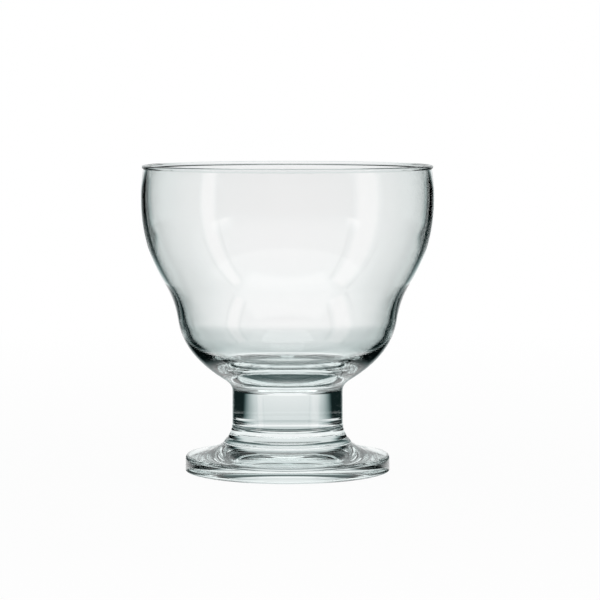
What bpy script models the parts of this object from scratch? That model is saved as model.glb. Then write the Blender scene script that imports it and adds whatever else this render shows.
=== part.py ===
"""Sherbet glass: a short, footed dessert glass in clear soda-lime glass.

Four gathers of glass are welded one on top of the other: a thick disc of a foot, a collar of rounded rings,
a short plain stem and a wide bowl with a beaded lip. Each gather is one closed solid, turned about the Z axis
from its own profile. Lengths are in metres, +Z is up and the origin is the middle of the resting plane.
"""

import math

import bpy
from mathutils import Vector
from mathutils.geometry import interpolate_bezier

# Turning
FACETS_AROUND = 64
MERGE_DISTANCE = 0.00001
HANDLE_SHARE = 0.35

# Weld between two gathers
WELD_GAP = 0.0003

# Foot: a thick disc that flares up to the collar and rests on a flat ring round a shallow hollow
FOOT_RADIUS = 0.0323
FOOT_BRIM_HEIGHT = 0.0051
FOOT_FLARE_RISE = 0.00382
FLARE_WELD_SLOPE = math.radians(42)
FLARE_BRIM_SLOPE = math.radians(4)
FLARE_WELD_HANDLE = 0.0026
FLARE_BRIM_HANDLE = 0.0060
BRIM_WIDTH = 0.0011
BRIM_DROP = 0.0020
HEEL_WIDTH = 0.0018
HEEL_RISE = 0.0012
REST_WIDTH = 0.0057
HOLLOW_DEPTH = 0.0015

# Collar: rounded rings along a cove that spreads out to the foot
RING_COUNT = 4
RING_PITCH = 0.00147
RING_SWELL = 0.00012
COVE_RADIUS = 0.0079

# Stem
STEM_RADIUS = 0.01743
STEM_HEIGHT = 0.0097

# Bowl, outside: radii step in from the belly, heights step up from the weld
BELLY_RADIUS = 0.0461
RIM_SET_IN = 0.00075
SHOULDER_SET_IN = 0.0072
WAIST_SET_IN = 0.0043
HIP_SET_IN = 0.0010
NECK_SET_OUT = 0.0029
NECK_RISE = 0.0038
HIP_RISE = 0.0148
WAIST_RISE = 0.0042
SHOULDER_RISE = 0.0115
BELLY_RISE = 0.0266
RIM_RISE = 0.00975
RIM_LEAN = math.radians(-8)
SHOULDER_LEAN = math.radians(32)
WAIST_LEAN = math.radians(9.5)
HIP_LEAN = math.radians(19)
NECK_LEAN = math.radians(58)

# Bowl, inside: the wall thickens from the rim to the floor
RIM_WALL = 0.0014
BELLY_WALL = 0.0014
SHOULDER_WALL = 0.0017
HIP_WALL = 0.0034
CAVITY_HIP_LEAN = math.radians(21.5)
FLOOR_THICKNESS = 0.0070
FLOOR_CORNER_HANDLE = 0.0100
FLOOR_FLAT_HANDLE = 0.0170

# Lip: an elliptical bead that overhangs the outer wall
LIP_HEIGHT = 0.0009
LIP_OVERHANG = 0.00055

# Glass, seen thin in the bowl and thick lower down
GLASS_ROUGHNESS = 0.02
GLASS_IOR = 1.52
BOWL_COLOUR = (0.94, 0.97, 0.96)
STEM_COLOUR = (0.87, 0.92, 0.91)
COLLAR_COLOUR = (0.84, 0.90, 0.89)
FOOT_COLOUR = (0.82, 0.89, 0.88)


def clear_scene():
    """Empty the scene of objects."""
    for thing in list(bpy.data.objects):
        bpy.data.objects.remove(thing, do_unlink=True)


def downward(lean):
    """Unit vector down the profile; a positive lean closes towards the axis."""
    return Vector((-math.sin(lean), -math.cos(lean)))


def outward(slope):
    """Unit vector out from the axis, sloping down."""
    return Vector((math.cos(slope), -math.sin(slope)))


def sweep(start, start_heading, end, end_heading, pieces, start_handle=None, end_handle=None):
    """Points of one Bezier stretch after its start, with a heading at each end."""
    chord = (end - start).length
    first = HANDLE_SHARE * chord if start_handle is None else start_handle
    last = HANDLE_SHARE * chord if end_handle is None else end_handle
    leave = start + first * start_heading
    arrive = end - last * end_heading
    return interpolate_bezier(start, leave, arrive, end, pieces + 1)[1:]


def ellipse_arc(centre, width, height, start, end, pieces):
    """Points of an elliptical arc, both ends included; angles rise from +r to +z."""
    angles = [start + (end - start) * i / pieces for i in range(pieces + 1)]
    return [centre + Vector((width * math.cos(a), height * math.sin(a))) for a in angles]


def collar_height():
    """Height of the rings together."""
    return RING_COUNT * RING_PITCH


def cove_radius(drop):
    """Radius of the cove at a drop below the stem's end."""
    return STEM_RADIUS + COVE_RADIUS - math.sqrt(COVE_RADIUS ** 2 - drop ** 2)


def foot_height():
    """Height of the foot's weld face."""
    return FOOT_BRIM_HEIGHT + FOOT_FLARE_RISE


def foot_profile():
    """Foot from its weld face, down the flare, over the brim and heel, to the hollow underneath."""
    weld_edge = Vector((cove_radius(collar_height()), foot_height()))
    brim = Vector((FOOT_RADIUS - BRIM_WIDTH, FOOT_BRIM_HEIGHT - BRIM_DROP))
    heel = Vector((FOOT_RADIUS - HEEL_WIDTH, HEEL_RISE))
    brim_arc = ellipse_arc(brim, BRIM_WIDTH, BRIM_DROP, math.pi / 2, 0, 5)
    heel_arc = ellipse_arc(heel, HEEL_WIDTH, HEEL_RISE, 0, -math.pi / 2, 5)
    hollow_edge = Vector((heel.x - REST_WIDTH, 0))
    hollow_top = Vector((0, HOLLOW_DEPTH))
    hollow_rise = Vector((-hollow_edge.x, 2 * HOLLOW_DEPTH)).normalized()

    points = [Vector((0, foot_height())), weld_edge]
    points += sweep(
        weld_edge,
        outward(FLARE_WELD_SLOPE),
        brim_arc[0],
        outward(FLARE_BRIM_SLOPE),
        7,
        FLARE_WELD_HANDLE,
        FLARE_BRIM_HANDLE,
    )
    points += brim_arc[1:]
    points += heel_arc
    points.append(hollow_edge)
    points += sweep(hollow_edge, hollow_rise, hollow_top, -outward(0), 7)
    return points


def ring_face(ring, pieces):
    """Points down the rounded face of one ring, from its upper groove to just above the next."""
    points = []
    for piece in range(pieces):
        share = piece / pieces
        drop = (ring + share) * RING_PITCH
        swell = RING_SWELL * math.sin(math.pi * share)
        tilt = math.asin(drop / COVE_RADIUS)
        face = Vector((cove_radius(drop), collar_height() - drop))
        points.append(face + swell * Vector((math.cos(tilt), math.sin(tilt))))
    return points


def collar_profile():
    """Collar: its upper weld face, the rounded rings down the cove, and its lower weld face."""
    points = [Vector((0, collar_height()))]
    for ring in range(RING_COUNT):
        points += ring_face(ring, 4)
    points.append(Vector((cove_radius(collar_height()), 0)))
    points.append(Vector((0, 0)))
    return points


def stem_profile():
    """Plain cylinder between its two weld faces."""
    return [
        Vector((0, STEM_HEIGHT)),
        Vector((STEM_RADIUS, STEM_HEIGHT)),
        Vector((STEM_RADIUS, 0)),
        Vector((0, 0)),
    ]


def bowl_profile():
    """Bowl from the middle of its floor, up inside, over the lip and down outside."""
    down = downward(0)
    neck_z = NECK_RISE
    hip_z = neck_z + HIP_RISE
    waist_z = hip_z + WAIST_RISE
    shoulder_z = waist_z + SHOULDER_RISE
    belly_z = shoulder_z + BELLY_RISE
    lip_z = belly_z + RIM_RISE

    rim_r = BELLY_RADIUS - RIM_SET_IN
    shoulder_r = BELLY_RADIUS - SHOULDER_SET_IN
    waist_r = shoulder_r - WAIST_SET_IN
    hip_r = waist_r - HIP_SET_IN
    neck_r = STEM_RADIUS + NECK_SET_OUT

    lip_width = (RIM_WALL + LIP_OVERHANG) / 2
    lip_centre = Vector((rim_r + LIP_OVERHANG - lip_width, lip_z))
    under_lip = -math.acos((rim_r - lip_centre.x) / lip_width)
    lip = ellipse_arc(lip_centre, lip_width, LIP_HEIGHT / 2, math.pi, under_lip, 9)

    floor = Vector((0, FLOOR_THICKNESS))
    inner_hip = Vector((hip_r - HIP_WALL, hip_z))
    inner_shoulder = Vector((shoulder_r - SHOULDER_WALL, shoulder_z))
    inner_belly = Vector((BELLY_RADIUS - BELLY_WALL, belly_z))
    belly = Vector((BELLY_RADIUS, belly_z))
    shoulder = Vector((shoulder_r, shoulder_z))
    waist = Vector((waist_r, waist_z))
    hip = Vector((hip_r, hip_z))
    neck = Vector((neck_r, neck_z))
    weld_edge = Vector((STEM_RADIUS, 0))

    points = [floor]
    points += sweep(
        floor, outward(0), inner_hip, -downward(CAVITY_HIP_LEAN), 9, FLOOR_FLAT_HANDLE, FLOOR_CORNER_HANDLE
    )
    points += sweep(inner_hip, -downward(CAVITY_HIP_LEAN), inner_shoulder, -downward(SHOULDER_LEAN), 4)
    points += sweep(inner_shoulder, -downward(SHOULDER_LEAN), inner_belly, -down, 6)
    points += sweep(inner_belly, -down, lip[0], -downward(RIM_LEAN), 3)
    points += lip[1:]
    points += sweep(lip[-1], downward(RIM_LEAN), belly, down, 3)
    points += sweep(belly, down, shoulder, downward(SHOULDER_LEAN), 6)
    points += sweep(shoulder, downward(SHOULDER_LEAN), waist, downward(WAIST_LEAN), 4)
    points += sweep(waist, downward(WAIST_LEAN), hip, downward(HIP_LEAN), 2)
    points += sweep(hip, downward(HIP_LEAN), neck, downward(NECK_LEAN), 5)
    points += sweep(neck, downward(NECK_LEAN), weld_edge, down, 4)
    points.append(Vector((0, 0)))
    return points


def glass_material(name, colour):
    """Clear glass with a faint green tint."""
    material = bpy.data.materials.new(name)
    material.use_nodes = True
    shader = material.node_tree.nodes["Principled BSDF"]
    shader.inputs["Base Color"].default_value = (*colour, 1.0)
    shader.inputs["Roughness"].default_value = GLASS_ROUGHNESS
    shader.inputs["Metallic"].default_value = 0.0
    shader.inputs["Transmission Weight"].default_value = 1.0
    shader.inputs["IOR"].default_value = GLASS_IOR
    return material


def turned_part(name, profile, base_z, colour, assembly):
    """One gather: its profile turned a full circle, standing at base_z on the axis."""
    mesh = bpy.data.meshes.new(name)
    points = [(point.x, 0.0, point.y) for point in profile]
    edges = [(i, i + 1) for i in range(len(points) - 1)]
    mesh.from_pydata(points, edges, [])
    mesh.materials.append(glass_material(name + "_glass", colour))

    part = bpy.data.objects.new(name, mesh)
    bpy.data.collections[assembly.name].objects.link(part)
    part.parent = assembly
    part.location.z = base_z

    turning = part.modifiers.new("Turning", "SCREW")
    turning.axis = "Z"
    turning.angle = math.tau
    turning.steps = FACETS_AROUND
    turning.render_steps = FACETS_AROUND
    turning.use_merge_vertices = True
    turning.merge_threshold = MERGE_DISTANCE
    turning.use_smooth_shade = True
    return part


def main():
    """Stack the four gathers on the foot."""
    clear_scene()
    collection = bpy.data.collections.new("sherbet_glass")
    bpy.context.scene.collection.children.link(collection)
    assembly = bpy.data.objects.new("sherbet_glass", None)
    collection.objects.link(assembly)

    collar_z = foot_height() + WELD_GAP
    stem_z = collar_z + collar_height() + WELD_GAP
    bowl_z = stem_z + STEM_HEIGHT + WELD_GAP
    turned_part("foot", foot_profile(), 0.0, FOOT_COLOUR, assembly)
    turned_part("collar", collar_profile(), collar_z, COLLAR_COLOUR, assembly)
    turned_part("stem", stem_profile(), stem_z, STEM_COLOUR, assembly)
    turned_part("bowl", bowl_profile(), bowl_z, BOWL_COLOUR, assembly)


main()
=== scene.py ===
"""Looks of the sherbet glass: one clear body of glass, its studio and its camera.

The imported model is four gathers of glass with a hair's gap at each weld. Hot glass closes those gaps, and
light runs through the finished body without meeting a join, so the four gathers are turned here as one
closed skin that replaces them. Each gather keeps its own class and sizes, and all four share one finish.
"""

import logging
import math
from collections.abc import Callable
from dataclasses import dataclass, field
from enum import Enum

import bpy
import numpy as np
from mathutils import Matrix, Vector
from mathutils.geometry import interpolate_bezier


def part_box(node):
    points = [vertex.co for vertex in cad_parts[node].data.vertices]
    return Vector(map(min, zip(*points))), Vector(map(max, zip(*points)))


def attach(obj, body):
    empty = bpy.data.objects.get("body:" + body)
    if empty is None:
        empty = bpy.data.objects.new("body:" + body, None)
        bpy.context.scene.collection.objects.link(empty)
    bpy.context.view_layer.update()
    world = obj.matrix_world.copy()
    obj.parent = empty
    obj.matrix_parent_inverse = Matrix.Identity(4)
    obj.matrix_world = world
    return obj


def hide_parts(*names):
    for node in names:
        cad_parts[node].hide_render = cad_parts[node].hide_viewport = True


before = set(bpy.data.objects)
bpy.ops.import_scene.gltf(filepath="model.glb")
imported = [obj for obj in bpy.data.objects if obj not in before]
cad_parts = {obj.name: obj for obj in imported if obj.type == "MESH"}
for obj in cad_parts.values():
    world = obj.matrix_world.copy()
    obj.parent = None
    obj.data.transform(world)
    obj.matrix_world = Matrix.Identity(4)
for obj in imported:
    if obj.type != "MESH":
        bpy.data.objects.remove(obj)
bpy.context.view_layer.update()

Socket = bpy.types.NodeSocket
Span = tuple[float, float]
Corner = tuple[float, float, float]
Shape = tuple[list[Corner], list[tuple[int, ...]]]

LOG = logging.getLogger("sherbet_glass")
BODY = "root"

# Fineness of the turned glass and of the round pieces of the studio
FACETS_AROUND = 192
CURVE_STEPS = 64
RING_STEPS = 24
STUDIO_SIDES = 96

# Share of a stretch's chord that each handle takes, unless its length is given
HANDLE_SHARE = 0.35

# Points nearer than the first distance are one point. A straight run is held at the second distance from its
# ends, unless it is shorter than the third.
MERGE_DISTANCE = 1e-7
HOLD_DISTANCE = 0.00004
SHORTEST_HELD = 6 * HOLD_DISTANCE

# Bounces of light that clear, thick glass needs
GLASS_BOUNCES = 32
MIRROR_BOUNCES = 16

RIGHT_ANGLE = 90.0
WHITE = (1.0, 1.0, 1.0, 1.0)
OUT = Vector((1.0, 0.0))
UP = Vector((0.0, 1.0))


class Gather(Enum):
    """The four gathers of glass, named as their CAD nodes."""

    BOWL = "bowl"
    STEM = "stem"
    COLLAR = "collar"
    FOOT = "foot"


class Sum(Enum):
    """Steps of arithmetic in a node tree."""

    ADD = "ADD"
    LESS = "SUBTRACT"
    TIMES = "MULTIPLY"
    OVER = "DIVIDE"
    POWER = "POWER"
    ROOT = "SQRT"
    SIZE = "ABSOLUTE"
    LEAST = "MINIMUM"
    MOST = "MAXIMUM"
    SOFT_MOST = "SMOOTH_MAX"
    TURN = "ARCTAN2"


class Ease(Enum):
    """How a ramp runs between its two ends."""

    STRAIGHT = "LINEAR"
    SOFT = "SMOOTHSTEP"


class Side(Enum):
    """Where a shader goes: on the skin of a piece, or through its depth."""

    SKIN = "Surface"
    DEPTH = "Volume"


class Place(Enum):
    """What a finish is measured in: the piece's own axes, or the direction in the surround."""

    PIECE = "Object"
    SURROUND = "Generated"


def heading(lean: float) -> Vector:
    """Unit vector down an outline.

    Args:
        lean: Degrees by which the outline closes towards the axis on its way down.

    Returns:
        The heading as (radius, height).
    """
    angle = math.radians(lean)
    return Vector((-math.sin(angle), -math.cos(angle)))


def sweep(
    start: Vector,
    leaving: Vector,
    end: Vector,
    arriving: Vector,
    first_reach: float | None = None,
    last_reach: float | None = None,
) -> list[Vector]:
    """Bezier stretch of an outline, without its first point.

    Args:
        start: Point that the stretch leaves.
        leaving: Unit heading at the start.
        end: Point that the stretch reaches.
        arriving: Unit heading at the end.
        first_reach: Length of the first handle, or None for a share of the chord.
        last_reach: Length of the last handle, or None for a share of the chord.

    Returns:
        Points after the start, the end included.
    """
    reach = HANDLE_SHARE * (end - start).length
    first = reach if first_reach is None else first_reach
    last = reach if last_reach is None else last_reach
    return interpolate_bezier(start, start + first * leaving, end - last * arriving, end, CURVE_STEPS + 1)[1:]


def ellipse(centre: Vector, width: float, height: float, begin: float, finish: float) -> list[Vector]:
    """Arc of an ellipse.

    Args:
        centre: Middle of the ellipse.
        width: Half width, along the radius.
        height: Half height.
        begin: First angle in radians, from +r towards +z.
        finish: Last angle in radians.

    Returns:
        Points of the arc, both ends included.
    """
    angles = np.linspace(begin, finish, CURVE_STEPS + 1)
    return [centre + Vector((width * math.cos(a), height * math.sin(a))) for a in angles]


def held(start: Vector, end: Vector) -> list[Vector]:
    """Straight run with a holding point near each end, so that smooth shading leaves it straight.

    Args:
        start: Point that the run leaves.
        end: Point that the run reaches.

    Returns:
        Points after the start, the end included.
    """
    run = end - start
    if run.length < SHORTEST_HELD:
        return [end]
    step = HOLD_DISTANCE * run.normalized()
    return [start + step, end - step, end]


def round_rim(radius: float, level: float) -> list[Corner]:
    """Corners round the axis.

    Args:
        radius: Distance from the axis.
        level: Height above the table.

    Returns:
        As many corners as a round piece of the studio has sides.
    """
    turns = [math.tau * side / STUDIO_SIDES for side in range(STUDIO_SIDES)]
    return [(radius * math.cos(turn), radius * math.sin(turn), level) for turn in turns]


def oblong(half_width: float, front: float, back: float, level: float) -> Shape:
    """Flat oblong of paper.

    Args:
        half_width: Distance from the middle to either side.
        front: Front edge, along Y.
        back: Back edge, along Y.
        level: Height above the table.

    Returns:
        Its four corners and one face.
    """
    corners = ((-half_width, front), (half_width, front), (half_width, back), (-half_width, back))
    return [(x, y, level) for x, y in corners], [(0, 1, 2, 3)]


def plain_object(name: str, shape: Shape, material: bpy.types.Material) -> bpy.types.Object:
    """Object from corners and faces, linked to the scene.

    Args:
        name: Name of the object and its mesh.
        shape: Corners, and the corner numbers of each face.
        material: Finish of the whole object.

    Returns:
        The object.
    """
    corners, faces = shape
    mesh = bpy.data.meshes.new(name)
    mesh.from_pydata(corners, [], faces)
    mesh.materials.append(material)
    thing = bpy.data.objects.new(name, mesh)
    bpy.context.scene.collection.objects.link(thing)
    return thing


@dataclass
class Net:
    """Short hand for building a node tree."""

    tree: bpy.types.NodeTree

    def add(self, kind: str) -> bpy.types.Node:
        """Add one node."""
        return self.tree.nodes.new(kind)

    def join(self, source: Socket, target: Socket) -> None:
        """Join two sockets."""
        self.tree.links.new(source, target)

    def output(self, shader: Socket, side: Side = Side.SKIN) -> None:
        """Put a shader on the skin or through the depth."""
        self.join(shader, self.tree.nodes["Material Output"].inputs[side.value])

    def place(self, kind: Place) -> Socket:
        """Coordinates of one kind."""
        return self.add("ShaderNodeTexCoord").outputs[kind.value]

    def axes(self, vector: Socket) -> tuple[Socket, Socket, Socket]:
        """Take a vector apart.

        Args:
            vector: Socket that holds the vector.

        Returns:
            Sockets that hold its X, Y and Z.
        """
        parts = self.add("ShaderNodeSeparateXYZ")
        self.join(vector, parts.inputs["Vector"])
        return parts.outputs["X"], parts.outputs["Y"], parts.outputs["Z"]

    def sum(self, step: Sum, *terms: Socket | float) -> Socket:
        """Do one step of arithmetic.

        Args:
            step: What is done with the terms.
            terms: Sockets or plain numbers.

        Returns:
            Socket that holds the result.
        """
        node = self.add("ShaderNodeMath")
        node.operation = step.value
        for term, target in zip(terms, node.inputs):
            if isinstance(term, Socket):
                self.join(term, target)
            else:
                target.default_value = term
        return node.outputs["Value"]

    def times(self, first: Socket, *others: Socket) -> Socket:
        """Multiply levels by each other.

        Args:
            first: First level.
            others: The levels that it is multiplied by.

        Returns:
            Socket that holds the product.
        """
        product = first
        for other in others:
            product = self.sum(Sum.TIMES, product, other)
        return product

    def reach(self, across: Socket, along: Socket) -> Socket:
        """Distance from the axis."""
        squares = (self.sum(Sum.TIMES, across, across), self.sum(Sum.TIMES, along, along))
        return self.sum(Sum.ROOT, self.sum(Sum.ADD, *squares))

    def bearing(self, across: Socket, along: Socket) -> Socket:
        """Angle from +Y to either side, in radians."""
        return self.sum(Sum.SIZE, self.sum(Sum.TURN, across, along))

    def ramp(self, value: Socket, span: Span, levels: Span, ease: Ease = Ease.STRAIGHT) -> Socket:
        """Ramp between two levels, held outside its ends.

        Args:
            value: Socket that the ramp follows.
            span: Values at which the ramp starts and ends.
            levels: Levels before its start and after its end.
            ease: How it runs between them.

        Returns:
            Socket that holds the level.
        """
        node = self.add("ShaderNodeMapRange")
        node.interpolation_type = ease.value
        self.join(value, node.inputs["Value"])
        for name, number in zip(("From Min", "From Max", "To Min", "To Max"), (*span, *levels)):
            node.inputs[name].default_value = number
        return node.outputs["Result"]


def new_material(name: str) -> tuple[bpy.types.Material, Net]:
    """Start a node material.

    Args:
        name: Name of the finish.

    Returns:
        The material and its node tree.
    """
    material = bpy.data.materials.new(name)
    material.use_nodes = True
    return material, Net(material.node_tree)


@dataclass(frozen=True)
class GlassFinish:
    """Clear soda-lime glass with the faint unevenness of a pressed and fire-polished skin."""

    name: str
    tint: tuple[float, float, float] = (0.30, 0.88, 0.84)
    density: float = 1.4
    edge_tint: tuple[float, float, float] = (0.93, 1.0, 0.99)
    edge_blend: float = 0.5
    ior: float = 1.52
    ripple_size: float = 0.018
    ripple_depth: float = 0.00002
    ripple_detail: float = 2.0
    ripple_strength: float = 0.5
    polish: float = 0.004
    haze: float = 0.012

    def material(self) -> bpy.types.Material:
        """Build the finish as a node material.

        Returns:
            Glass whose skin is slightly rippled, unevenly polished, and green through its depth.
        """
        material, net = new_material(self.name)
        shader = net.tree.nodes["Principled BSDF"]
        shader.inputs["Transmission Weight"].default_value = 1.0
        shader.inputs["IOR"].default_value = self.ior
        self.tint_edges(net, shader)
        self.ripple_skin(net, shader)
        depth = net.add("ShaderNodeVolumeAbsorption")
        depth.inputs["Color"].default_value = (*self.tint, 1.0)
        depth.inputs["Density"].default_value = self.density
        net.output(depth.outputs["Volume"], Side.DEPTH)
        return material

    def tint_edges(self, net: Net, shader: bpy.types.Node) -> None:
        """Tint the glass where its skin is seen at a slant.

        Args:
            net: Nodes of the finish.
            shader: Node of the glass.
        """
        slant = net.add("ShaderNodeLayerWeight")
        slant.inputs["Blend"].default_value = self.edge_blend
        edge = net.add("ShaderNodeMix")
        edge.data_type = "RGBA"
        edge.inputs["A"].default_value = WHITE
        edge.inputs["B"].default_value = (*self.edge_tint, 1.0)
        net.join(slant.outputs["Facing"], edge.inputs["Factor"])
        net.join(edge.outputs["Result"], shader.inputs["Base Color"])

    def ripple_skin(self, net: Net, shader: bpy.types.Node) -> None:
        """Ripple the skin and vary its polish, in patches.

        Args:
            net: Nodes of the finish.
            shader: Node of the glass.
        """
        patches = net.add("ShaderNodeTexNoise")
        patches.inputs["Scale"].default_value = 1.0 / self.ripple_size
        patches.inputs["Detail"].default_value = self.ripple_detail
        net.join(net.place(Place.PIECE), patches.inputs["Vector"])
        uneven = patches.outputs["Fac"]
        net.join(net.ramp(uneven, (0.0, 1.0), (self.polish, self.haze)), shader.inputs["Roughness"])
        ripple = net.add("ShaderNodeBump")
        ripple.inputs["Distance"].default_value = self.ripple_depth
        ripple.inputs["Strength"].default_value = self.ripple_strength
        net.join(uneven, ripple.inputs["Height"])
        net.join(ripple.outputs["Normal"], shader.inputs["Normal"])


@dataclass
class Bowl:
    """Wide cup with a beaded lip, a pinched waist and a thick floor."""

    rim_set_in: float = 0.00075
    shoulder_set_in: float = 0.0072
    waist_set_in: float = 0.0043
    hip_set_in: float = 0.0010
    neck_set_out: float = 0.0029
    neck_rise: float = 0.0038
    hip_rise: float = 0.0148
    waist_rise: float = 0.0042
    shoulder_rise: float = 0.0115
    belly_rise: float = 0.0266
    rim_rise: float = 0.00955
    rim_lean: float = -8.0
    shoulder_lean: float = 32.0
    waist_lean: float = 9.5
    hip_lean: float = 19.0
    neck_lean: float = 58.0
    rim_wall: float = 0.0014
    belly_wall: float = 0.0014
    shoulder_wall: float = 0.0017
    waist_wall: float = 0.0021
    hip_wall: float = 0.0024
    cavity_waist_lean: float = 12.0
    cavity_hip_lean: float = 22.0
    floor_thickness: float = 0.0052
    corner_reach: float = 0.0100
    flat_reach: float = 0.0150
    lip_height: float = 0.0013
    lip_overhang: float = 0.00045
    base_z: float = field(init=False)
    belly_radius: float = field(init=False)
    stem_radius: float = field(init=False)

    def __post_init__(self) -> None:
        """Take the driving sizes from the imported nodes."""
        low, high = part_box(Gather.BOWL.value)
        self.base_z = low.z
        self.belly_radius = high.x
        self.stem_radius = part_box(Gather.STEM.value)[1].x

    def outline(self) -> list[Vector]:
        """Outline from the middle of the floor, up inside, over the lip and down outside to the weld.

        Returns:
            Points as (radius, height).
        """
        neck_z = self.base_z + self.neck_rise
        hip_z = neck_z + self.hip_rise
        waist_z = hip_z + self.waist_rise
        shoulder_z = waist_z + self.shoulder_rise
        belly_z = shoulder_z + self.belly_rise
        lip_z = belly_z + self.rim_rise
        rim_r = self.belly_radius - self.rim_set_in
        shoulder_r = self.belly_radius - self.shoulder_set_in
        waist_r = shoulder_r - self.waist_set_in
        hip_r = waist_r - self.hip_set_in
        neck_r = self.stem_radius + self.neck_set_out

        half_lip = (self.rim_wall + self.lip_overhang) / 2
        lip_centre = Vector((rim_r + self.lip_overhang - half_lip, lip_z))
        under_lip = -math.acos((rim_r - lip_centre.x) / half_lip)
        lip = ellipse(lip_centre, half_lip, self.lip_height / 2, math.pi, under_lip)

        floor = Vector((0.0, self.base_z + self.floor_thickness))
        inner_hip = Vector((hip_r - self.hip_wall, hip_z))
        inner_waist = Vector((waist_r - self.waist_wall, waist_z))
        inner_shoulder = Vector((shoulder_r - self.shoulder_wall, shoulder_z))
        inner_belly = Vector((self.belly_radius - self.belly_wall, belly_z))
        belly = Vector((self.belly_radius, belly_z))
        shoulder = Vector((shoulder_r, shoulder_z))
        waist = Vector((waist_r, waist_z))
        hip = Vector((hip_r, hip_z))
        neck = Vector((neck_r, neck_z))
        weld = Vector((self.stem_radius, self.base_z))

        to_hip = -heading(self.cavity_hip_lean)
        to_waist = -heading(self.cavity_waist_lean)
        to_shoulder = -heading(self.shoulder_lean)
        points = [floor]
        points += sweep(floor, OUT, inner_hip, to_hip, self.flat_reach, self.corner_reach)
        points += sweep(inner_hip, to_hip, inner_waist, to_waist)
        points += sweep(inner_waist, to_waist, inner_shoulder, to_shoulder)
        points += sweep(inner_shoulder, to_shoulder, inner_belly, UP)
        points += sweep(inner_belly, UP, lip[0], -heading(self.rim_lean))
        points += lip[1:]
        points += sweep(lip[-1], heading(self.rim_lean), belly, -UP)
        points += sweep(belly, -UP, shoulder, heading(self.shoulder_lean))
        points += sweep(shoulder, heading(self.shoulder_lean), waist, heading(self.waist_lean))
        points += sweep(waist, heading(self.waist_lean), hip, heading(self.hip_lean))
        points += sweep(hip, heading(self.hip_lean), neck, heading(self.neck_lean))
        points += sweep(neck, heading(self.neck_lean), weld, -UP)
        return points


@dataclass
class Stem:
    """Plain solid cylinder under the bowl."""

    radius: float = field(init=False)
    base_z: float = field(init=False)
    top_z: float = field(init=False)

    def __post_init__(self) -> None:
        """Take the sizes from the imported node."""
        low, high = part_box(Gather.STEM.value)
        self.radius = high.x
        self.base_z = low.z
        self.top_z = high.z

    def outline(self) -> list[Vector]:
        """Outline down the side of the stem, weld to weld."""
        return [Vector((self.radius, self.top_z)), Vector((self.radius, self.base_z))]


@dataclass
class Collar:
    """Rounded rings along a cove that spreads out to the foot."""

    ring_count: int = 4
    ring_pitch: float = 0.00147
    ring_swell: float = 0.00012
    cove_radius: float = 0.0079
    base_z: float = field(init=False)
    top_z: float = field(init=False)
    edge_radius: float = field(init=False)
    stem_radius: float = field(init=False)

    def __post_init__(self) -> None:
        """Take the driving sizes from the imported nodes."""
        low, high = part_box(Gather.COLLAR.value)
        self.base_z = low.z
        self.top_z = high.z
        self.edge_radius = high.x
        self.stem_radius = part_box(Gather.STEM.value)[1].x

    def outline(self) -> list[Vector]:
        """Outline down the rings to the foot.

        Returns:
            Points as (radius, height).
        """
        middle = Vector((self.stem_radius + self.cove_radius, self.top_z))
        points: list[Vector] = []
        for ring in range(self.ring_count):
            for share in np.linspace(0.0, 1.0, RING_STEPS, endpoint=False):
                drop = (ring + share) * self.ring_pitch
                tilt = math.asin(drop / self.cove_radius)
                normal = Vector((math.cos(tilt), math.sin(tilt)))
                swell = self.ring_swell * math.sin(math.pi * share)
                points.append(middle - (self.cove_radius - swell) * normal)
        points.append(Vector((self.edge_radius, self.base_z)))
        return points


@dataclass
class Foot:
    """Thick round disc that flares up to the collar, with a shallow hollow underneath."""

    brim_height: float = 0.0051
    weld_slope: float = 42.0
    brim_slope: float = 4.0
    weld_reach: float = 0.0026
    brim_reach: float = 0.0060
    brim_width: float = 0.0009
    brim_drop: float = 0.0013
    heel_width: float = 0.0006
    heel_rise: float = 0.0005
    rest_width: float = 0.0080
    hollow_depth: float = 0.0012
    base_z: float = field(init=False)
    weld_z: float = field(init=False)
    weld_radius: float = field(init=False)
    edge_radius: float = field(init=False)

    def __post_init__(self) -> None:
        """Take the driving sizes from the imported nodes."""
        low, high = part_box(Gather.FOOT.value)
        self.base_z = low.z
        self.weld_z = high.z
        self.weld_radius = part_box(Gather.COLLAR.value)[1].x
        self.edge_radius = high.x

    def outline(self) -> list[Vector]:
        """Outline from the collar down the flare, over the brim and the heel, to the middle of the hollow.

        Returns:
            Points as (radius, height).
        """
        weld = Vector((self.weld_radius, self.weld_z))
        brim_z = self.base_z + self.brim_height - self.brim_drop
        brim = Vector((self.edge_radius - self.brim_width, brim_z))
        heel = Vector((self.edge_radius - self.heel_width, self.base_z + self.heel_rise))
        brim_arc = ellipse(brim, self.brim_width, self.brim_drop, math.pi / 2, 0.0)
        heel_arc = ellipse(heel, self.heel_width, self.heel_rise, 0.0, -math.pi / 2)
        hollow_edge = Vector((heel.x - self.rest_width, self.base_z))
        hollow_top = Vector((0.0, self.base_z + self.hollow_depth))
        # A shallow dome is twice as steep at its edge as on average
        hollow_rise = Vector((-hollow_edge.x, 2 * self.hollow_depth)).normalized()
        leaving = heading(self.weld_slope - RIGHT_ANGLE)
        arriving = heading(self.brim_slope - RIGHT_ANGLE)
        points = [weld]
        points += sweep(weld, leaving, brim_arc[0], arriving, self.weld_reach, self.brim_reach)
        points += brim_arc[1:]
        points += heel_arc
        points += held(heel_arc[-1], hollow_edge)
        points += sweep(hollow_edge, hollow_rise, hollow_top, -OUT)
        return points


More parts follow.
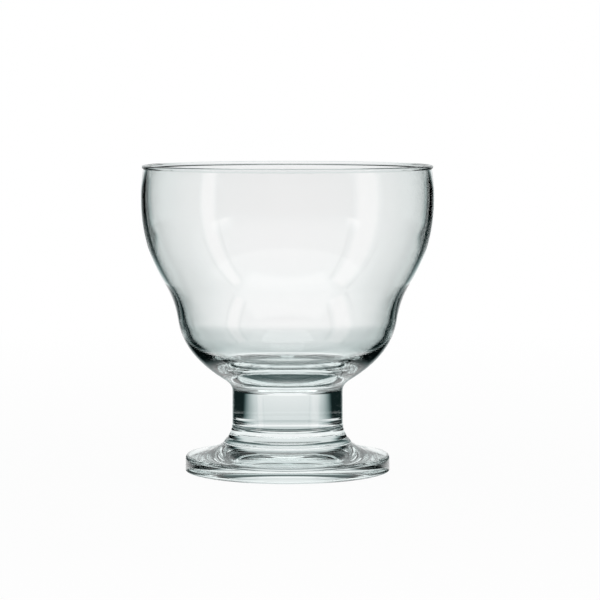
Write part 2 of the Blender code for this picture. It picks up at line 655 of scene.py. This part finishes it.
@dataclass
class GlassBody:
    """The four gathers turned together as one closed skin."""

    bowl: Bowl
    stem: Stem
    collar: Collar
    foot: Foot
    finish: GlassFinish

    def outline(self) -> list[Vector]:
        """Outline of the whole glass, from the floor of the bowl over the lip to the hollow of the foot.

        Returns:
            Points as (radius, height), with straight runs held near their ends.
        """
        points: list[Vector] = []
        for part in (self.bowl, self.stem, self.collar, self.foot):
            for point in part.outline():
                if not points:
                    points.append(point)
                elif (point - points[-1]).length > MERGE_DISTANCE:
                    points += held(points[-1], point)
        return points

    def skin(self) -> bpy.types.Mesh:
        """Turn the outline about the axis.

        Returns:
            A closed, smooth mesh.
        """
        angles = np.linspace(0.0, math.tau, FACETS_AROUND, endpoint=False)
        verts: list[Corner] = []
        rings: list[list[int]] = []
        for point in self.outline():
            if point.x < MERGE_DISTANCE:
                rings.append([len(verts)] * FACETS_AROUND)
                verts.append((0.0, 0.0, point.y))
            else:
                rings.append(list(range(len(verts), len(verts) + FACETS_AROUND)))
                verts += [(point.x * math.cos(a), point.x * math.sin(a), point.y) for a in angles]
        faces: list[tuple[int, ...]] = []
        for upper, lower in zip(rings, rings[1:]):
            for here in range(FACETS_AROUND):
                there = (here + 1) % FACETS_AROUND
                faces.append(tuple(dict.fromkeys((upper[here], lower[here], lower[there], upper[there]))))
        mesh = bpy.data.meshes.new("glass_body")
        mesh.from_pydata(verts, [], faces)
        mesh.polygons.foreach_set("use_smooth", [True] * len(faces))
        return mesh

    def build(self) -> bpy.types.Object:
        """Make the piece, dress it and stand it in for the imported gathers.

        Returns:
            The glass body.
        """
        mesh = self.skin()
        mesh.materials.append(self.finish.material())
        body = bpy.data.objects.new("glass_body", mesh)
        bpy.context.scene.collection.objects.link(body)
        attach(body, BODY)
        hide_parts(*(gather.value for gather in Gather))
        return body


@dataclass(frozen=True)
class PaperFinish:
    """Paper of the set that glows with a painted brightness, and turns a little cool where it darkens."""

    name: str
    cool: float = 1.18

    def material(self, grade: Callable[[Net], Socket]) -> bpy.types.Material:
        """Build the finish as a node material.

        Args:
            grade: Method that builds the brightness over the paper, where 1 is white.

        Returns:
            Paper that gives its own light.
        """
        material, net = new_material(self.name)
        level = grade(net)
        colour = net.add("ShaderNodeCombineColor")
        net.join(net.sum(Sum.POWER, level, self.cool), colour.inputs["Red"])
        net.join(level, colour.inputs["Green"])
        net.join(level, colour.inputs["Blue"])
        glow = net.add("ShaderNodeEmission")
        net.join(colour.outputs["Color"], glow.inputs["Color"])
        net.output(glow.outputs["Emission"])
        return material


@dataclass(frozen=True)
class FloorFinish:
    """White floor that glows softly and still takes the shadow of the glass."""

    name: str
    paint: tuple[float, float, float, float] = (0.9, 0.9, 0.9, 1.0)
    near_glow: float = 0.96
    glow_span: Span = (0.1, 0.5)

    def material(self) -> bpy.types.Material:
        """Build the finish as a node material.

        Returns:
            Paint that glows where it is seen, a little less near the glass than far off.
        """
        material, net = new_material(self.name)
        paint = net.add("ShaderNodeBsdfDiffuse")
        paint.inputs["Color"].default_value = self.paint
        glow = net.add("ShaderNodeEmission")
        ray = net.add("ShaderNodeLightPath")
        seen = net.sum(Sum.MOST, ray.outputs["Is Camera Ray"], ray.outputs["Is Glossy Ray"])
        seen = net.sum(Sum.MOST, seen, ray.outputs["Is Transmission Ray"])
        across, along, _ = net.axes(net.place(Place.PIECE))
        share = net.ramp(net.reach(across, along), self.glow_span, (self.near_glow, 1.0))
        mix = net.add("ShaderNodeMixShader")
        net.join(net.times(seen, share), mix.inputs["Fac"])
        net.join(paint.outputs["BSDF"], mix.inputs[1])
        net.join(glow.outputs["Emission"], mix.inputs[2])
        net.output(mix.outputs["Shader"])
        return material


@dataclass
class SetPiece:
    """A paper of the graded set, which only the glass sees.

    Its bearing is in degrees clockwise from straight behind the glass, and its apex is where its own Y axis
    starts. A paper that is only mirrored isn't seen through the glass.
    """

    name: str
    bearing: float = 0.0
    apex: float = 0.0
    only_mirrored: bool = False

    def grade(self, net: Net) -> Socket:
        """Brightness over the paper, where 1 is white."""
        raise NotImplementedError

    def shape(self) -> Shape:
        """Corners and faces of the paper."""
        raise NotImplementedError

    def hang(self, rig: bpy.types.Object) -> bpy.types.Object:
        """Make the paper, dress it and hang it on the rig.

        Args:
            rig: Stand that turns with the camera.

        Returns:
            The paper.
        """
        finish = PaperFinish(f"{self.name}_paper")
        piece = plain_object(self.name, self.shape(), finish.material(self.grade))
        piece.location.y = self.apex
        piece.rotation_euler.z = -math.radians(self.bearing)
        piece.parent = rig
        piece.visible_camera = False
        piece.visible_diffuse = False
        piece.visible_shadow = False
        piece.visible_transmission = not self.only_mirrored
        return piece


@dataclass
class Sheet(SetPiece):
    """Paper on the floor: a white strip that runs back from the glass, dark on both sides.

    Each edge of the strip holds its half width beside the glass, its slope and its widest half width. The
    strip ends in front of the glass, and carries a painted shadow of the glass under the foot and behind it.
    """

    name: str = "sheet"
    half_side: float = 0.80
    level: float = -0.00003
    inner_edge: tuple[float, float, float] = (0.041, 0.29, 0.150)
    outer_edge: tuple[float, float, float] = (0.056, 0.80, 0.185)
    edge_blend: float = 0.4
    shade: float = 0.015
    front_edge: Span = (-0.0886, -0.0776)
    # Painted shadow under the foot: the reach over which it fades out, and its level under the glass
    foot_shadow_edge: Span = (0.0235, 0.0305)
    foot_shadow_level: float = 0.09
    # Painted shadow that the glass casts on the paper behind it
    shadow_sides: Span = (0.063, 0.117)
    shadow_start: Span = (0.045, 0.075)
    shadow_end: float = 0.30
    shadow_level: float = 0.46

    def half_width(self, net: Net, along: Socket, near: float, slope: float, widest: float) -> Socket:
        """Half width of the strip at one of its edges.

        Args:
            net: Nodes of the paper.
            along: Distance behind the axis.
            near: Half width beside the glass.
            slope: Half width gained per distance farther back.
            widest: Half width that it keeps to.

        Returns:
            Socket that holds the half width.
        """
        spread = net.sum(Sum.TIMES, along, slope)
        spread = net.sum(Sum.SOFT_MOST, spread, near, self.edge_blend * near)
        return net.sum(Sum.LEAST, spread, widest)

    def grade(self, net: Net) -> Socket:
        """Brightness over the paper.

        Args:
            net: Nodes of the paper.

        Returns:
            Socket that holds the brightness, where 1 is white.
        """
        across, along, _ = net.axes(net.place(Place.PIECE))
        side = net.sum(Sum.SIZE, across)
        inner = self.half_width(net, along, *self.inner_edge)
        outer = self.half_width(net, along, *self.outer_edge)
        share = net.sum(Sum.OVER, net.sum(Sum.LESS, side, inner), net.sum(Sum.LESS, outer, inner))
        strip = net.ramp(share, (0.0, 1.0), (1.0, self.shade), Ease.SOFT)
        front = net.ramp(along, self.front_edge, (self.shade, 1.0), Ease.SOFT)
        # Painted shadow under the foot of the glass
        under = net.ramp(net.reach(across, along), self.foot_shadow_edge, (self.foot_shadow_level, 1.0), Ease.SOFT)
        # Painted shadow of the glass behind it
        shadow = net.times(
            net.ramp(side, self.shadow_sides, (1.0 - self.shadow_level, 0.0), Ease.SOFT),
            net.ramp(along, self.shadow_start, (0.0, 1.0), Ease.SOFT),
            net.ramp(along, (0.0, self.shadow_end), (1.0, 0.0)),
        )
        return net.times(strip, front, under, net.sum(Sum.LESS, 1.0, shadow))

    def shape(self) -> Shape:
        """Square about the axis."""
        return oblong(self.half_side, -self.half_side, self.half_side, self.level)


@dataclass
class Tent(SetPiece):
    """Upright round of cloth: white behind the glass, paler above the horizon, dark elsewhere.

    The white reaches to a half angle at the table and to a wider one above the horizon. A grey valance hangs
    at the top.
    """

    name: str = "tent"
    radius: float = 0.80
    height: float = 0.78
    half_angles: Span = (14.8, 30.7)
    edge_shares: Span = (0.80, 1.20)
    horizon: Span = (0.044, 0.131)
    valance: Span = (0.50, 0.58)
    table_level: float = 1.0
    upper_level: float = 0.82
    valance_level: float = 0.25

    def grade(self, net: Net) -> Socket:
        """Brightness over the cloth.

        Args:
            net: Nodes of the cloth.

        Returns:
            Socket that holds the brightness, where 1 is white.
        """
        across, along, up = net.axes(net.place(Place.PIECE))
        low, high = (math.radians(angle) for angle in self.half_angles)
        half_angle = net.ramp(up, self.horizon, (low, high), Ease.SOFT)
        offset = net.sum(Sum.OVER, net.bearing(across, along), half_angle)
        cloth = net.ramp(offset, self.edge_shares, (1.0, 0.0), Ease.SOFT)
        above = net.ramp(up, self.horizon, (self.table_level, self.upper_level), Ease.SOFT)
        top = net.ramp(up, self.valance, (1.0, self.valance_level / self.upper_level), Ease.SOFT)
        return net.times(cloth, above, top)

    def shape(self) -> Shape:
        """Upright wall round the axis.

        Returns:
            Corners at its foot and at its head, and its faces.
        """
        corners = round_rim(self.radius, 0.0) + round_rim(self.radius, self.height)
        pairs = [(side, (side + 1) % STUDIO_SIDES) for side in range(STUDIO_SIDES)]
        return corners, [(here, there, there + STUDIO_SIDES, here + STUDIO_SIDES) for here, there in pairs]


@dataclass
class Card(SetPiece):
    """White card that stands beside the glass, for one soft line mirrored on its skin.

    A laid card also runs on over the floor, as a wedge towards the glass.
    """

    apex: float = -0.030
    only_mirrored: bool = True
    half_angle: float = 15.5
    brightness: float = 1.8
    core_share: float = 0.35
    near: float = 0.06
    far: float = 0.55
    level: float = -0.000015
    fade_height: float = 0.21
    height: float = 0.35
    laid: bool = True

    def grade(self, net: Net) -> Socket:
        """Brightness over the card, which fades to its sides and its head.

        Args:
            net: Nodes of the card.

        Returns:
            Socket that holds the brightness, where 1 is white.
        """
        across, along, up = net.axes(net.place(Place.PIECE))
        limit = math.radians(self.half_angle)
        offset = net.bearing(across, along)
        sides = net.ramp(offset, (self.core_share * limit, limit), (self.brightness, 0.0), Ease.SOFT)
        head = net.ramp(up, (self.fade_height, self.height), (1.0, 0.0), Ease.SOFT)
        return net.times(sides, head)

    def shape(self) -> Shape:
        """Wedge on the floor and upright card behind it.

        Returns:
            Corners in rows from the glass outwards and up, and the faces that the card has.
        """
        slope = math.tan(math.radians(self.half_angle))
        rows = ((self.near, self.level), (self.far, self.level), (self.far, self.height))
        corners = [(side * slope * y, y, z) for y, z in rows for side in (-1, 1)]
        wedge, upright = (0, 1, 3, 2), (2, 3, 5, 4)
        return corners, [wedge, upright] if self.laid else [upright]


@dataclass
class Apron(SetPiece):
    """White paper on the floor in front, which the front of the bowl mirrors."""

    name: str = "apron"
    only_mirrored: bool = True
    half_side: float = 0.80
    level: float = -0.000021
    side_angles: Span = (95.0, 125.0)
    fade: Span = (0.15, 0.75)

    def grade(self, net: Net) -> Socket:
        """Brightness over the paper, which fades to the sides and away from the glass.

        Args:
            net: Nodes of the paper.

        Returns:
            Socket that holds the brightness, where 1 is white.
        """
        across, along, _ = net.axes(net.place(Place.PIECE))
        first, last = (math.radians(angle) for angle in self.side_angles)
        front = net.ramp(net.bearing(across, along), (first, last), (0.0, 1.0), Ease.SOFT)
        near = net.ramp(net.reach(across, along), self.fade, (1.0, 0.0), Ease.SOFT)
        return net.times(front, near)

    def shape(self) -> Shape:
        """Oblong in front of the axis."""
        return oblong(self.half_side, -self.half_side, 0.0, self.level)


def graded_set() -> list[SetPiece]:
    """Papers of the set, with cards for the soft lines on the bowl and dimmer panels beside it.

    Returns:
        The papers in the order in which they are hung.
    """
    return [
        Sheet(),
        Tent(),
        Card("wing_left", bearing=-115.5, half_angle=9.5),
        Card("wing_right", bearing=114.5, half_angle=15.5),
        Card("panel_left", bearing=-62.0, half_angle=24.0, brightness=0.55, laid=False),
        Card("panel_right", bearing=62.0, half_angle=24.0, brightness=0.55, laid=False),
        Apron(),
    ]


@dataclass
class Studio:
    """White floor and surround, a graded set that only the glass sees, and one soft lamp.

    The set is dark at the sides and white behind, and draws the edges of the glass. It hangs on a rig that
    turns with the camera, as the set of a turntable shot stays with its camera.
    """

    floor_radius: float = 8.0
    floor_level: float = -0.00005
    ceiling_level: float = 0.38
    ceiling_angles: Span = (10.0, 30.0)
    lamp_width: float = 0.8
    lamp_height: float = 1.5
    lamp_level: float = 1.2
    papers: list[SetPiece] = field(default_factory=graded_set)

    def build(self, camera: bpy.types.Object) -> list[bpy.types.Object]:
        """Build the surround, the floor, the set and the lamp.

        Args:
            camera: Camera that the rig turns with.

        Returns:
            The pieces of the studio.
        """
        self.surround()
        rig = self.rig(camera)
        return [rig, self.floor(), *(paper.hang(rig) for paper in self.papers), self.lamp()]

    def surround(self) -> None:
        """White surround that fades to a grey ceiling."""
        world = bpy.data.worlds.new("surround")
        bpy.context.scene.world = world
        world.use_nodes = True
        net = Net(world.node_tree)
        shader = world.node_tree.nodes["Background"]
        shader.inputs["Color"].default_value = WHITE
        height = net.axes(net.place(Place.SURROUND))[2]
        low, high = (math.sin(math.radians(angle)) for angle in self.ceiling_angles)
        net.join(net.ramp(height, (low, high), (1.0, self.ceiling_level)), shader.inputs["Strength"])

    def rig(self, camera: bpy.types.Object) -> bpy.types.Object:
        """Stand of the set.

        Args:
            camera: Camera that it turns with.

        Returns:
            The stand.
        """
        rig = bpy.data.objects.new("rig", None)
        bpy.context.scene.collection.objects.link(rig)
        facing = rig.constraints.new("LOCKED_TRACK")
        facing.target = camera
        facing.track_axis = "TRACK_NEGATIVE_Y"
        facing.lock_axis = "LOCK_Z"
        return rig

    def floor(self) -> bpy.types.Object:
        """Round white floor.

        Returns:
            The floor.
        """
        rim = round_rim(self.floor_radius, self.floor_level)
        floor = plain_object("floor", (rim, [tuple(range(len(rim)))]), FloorFinish("floor_white").material())
        return floor

    def lamp(self) -> bpy.types.Object:
        """One broad lamp overhead, for the floor and its soft shadow.

        Returns:
            The lamp.
        """
        data = bpy.data.lights.new("overhead", "AREA")
        data.size = self.lamp_width
        data.energy = self.lamp_level * math.pi * self.lamp_width**2
        lamp = bpy.data.objects.new("overhead", data)
        lamp.location.z = self.lamp_height
        bpy.context.scene.collection.objects.link(lamp)
        return lamp


@dataclass
class Viewpoint:
    """Camera at the height, distance and lens fitted to the lip and the foot."""

    distance: float = 0.850
    height: float = 0.1205
    aim_height: float = 0.05389
    aim_right: float = 0.00393
    lens: float = 162.2
    sensor_width: float = 36.0
    nearest: float = 0.01

    def build(self) -> bpy.types.Object:
        """Place the camera and make it the scene's own.

        Returns:
            The camera.
        """
        data = bpy.data.cameras.new("camera")
        data.lens = self.lens
        data.sensor_width = self.sensor_width
        data.clip_start = self.nearest
        eye = Vector((0.0, -self.distance, self.height))
        aim = Vector((self.aim_right, 0.0, self.aim_height))
        camera = bpy.data.objects.new("camera", data)
        camera.location = eye
        camera.rotation_euler = (aim - eye).to_track_quat("-Z", "Y").to_euler()
        bpy.context.scene.collection.objects.link(camera)
        bpy.context.scene.camera = camera
        return camera


def main() -> None:
    """Build the glass, its camera and its studio, and report each piece."""
    logging.basicConfig(level=logging.INFO)
    scene = bpy.context.scene
    scene.view_settings.view_transform = "Standard"
    scene.cycles.max_bounces = GLASS_BOUNCES
    scene.cycles.transmission_bounces = GLASS_BOUNCES
    scene.cycles.glossy_bounces = MIRROR_BOUNCES
    glass = GlassBody(Bowl(), Stem(), Collar(), Foot(), GlassFinish("clear_glass"))
    body = glass.build()
    LOG.info("%s: %d faces", body.name, len(body.data.polygons))
    camera = Viewpoint().build()
    LOG.info("%s: placed", camera.name)
    for piece in Studio().build(camera):
        LOG.info("%s: part of the studio", piece.name)


if __name__ == "__main__":
    main()
